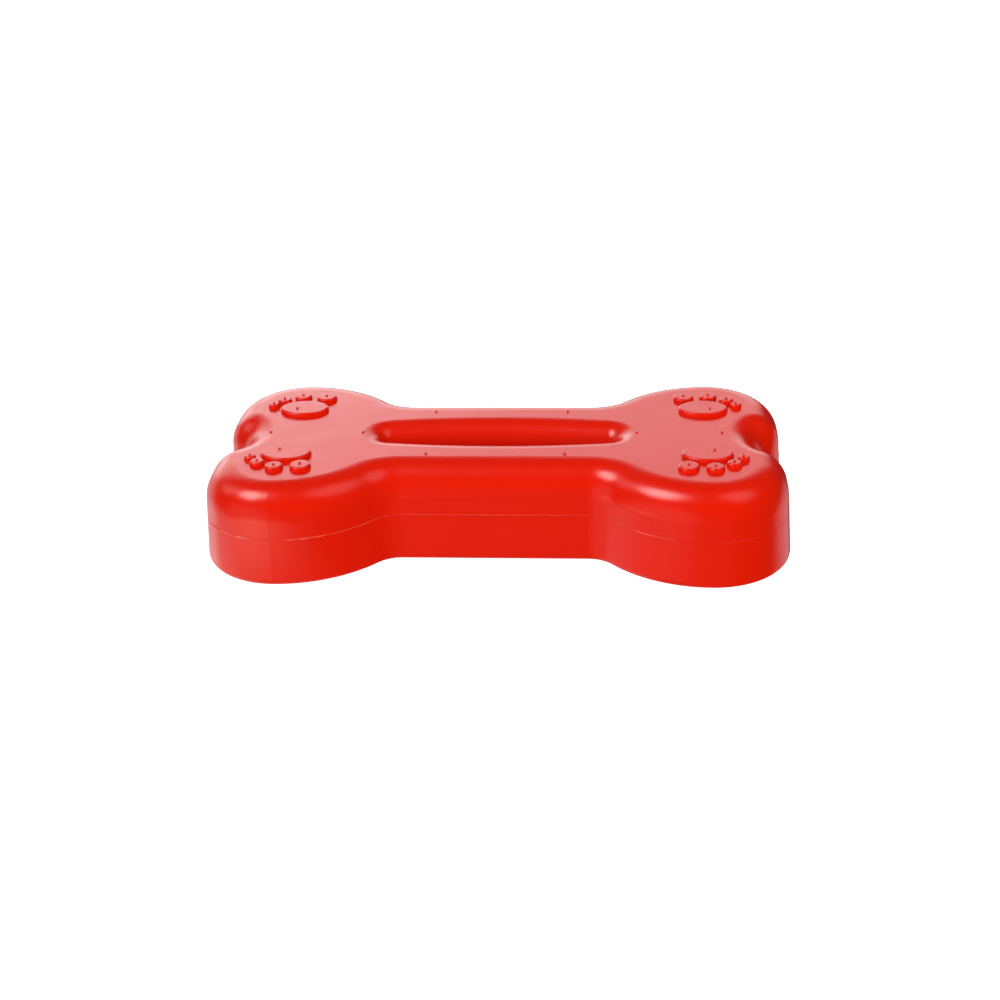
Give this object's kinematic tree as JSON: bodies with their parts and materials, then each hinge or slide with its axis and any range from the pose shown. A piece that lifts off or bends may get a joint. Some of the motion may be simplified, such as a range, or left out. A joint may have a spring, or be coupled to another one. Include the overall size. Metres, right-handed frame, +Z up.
{
  "type": "rubber chew toy",
  "caption": "Flat bone-shaped dog chew of solid rubber, made of bonded upper and lower halves, with a bowed slot through the middle and a raised paw print on each lobe.",
  "frame": {"origin": "centre of the underside, on the surface that the toy lies on", "axes": "+X along the bone, +Y across it, +Z up, out of the face with the paw prints"},
  "size_m": [0.15, 0.075, 0.0261],
  "materials": {
    "moulded_rubber": "satin",
    "rubber_cement": "satin"
  },
  "bodies": {
    "root": {"upper_half": "moulded_rubber", "lower_half": "moulded_rubber", "bond_film": "rubber_cement"}
  },
  "joints": []
}
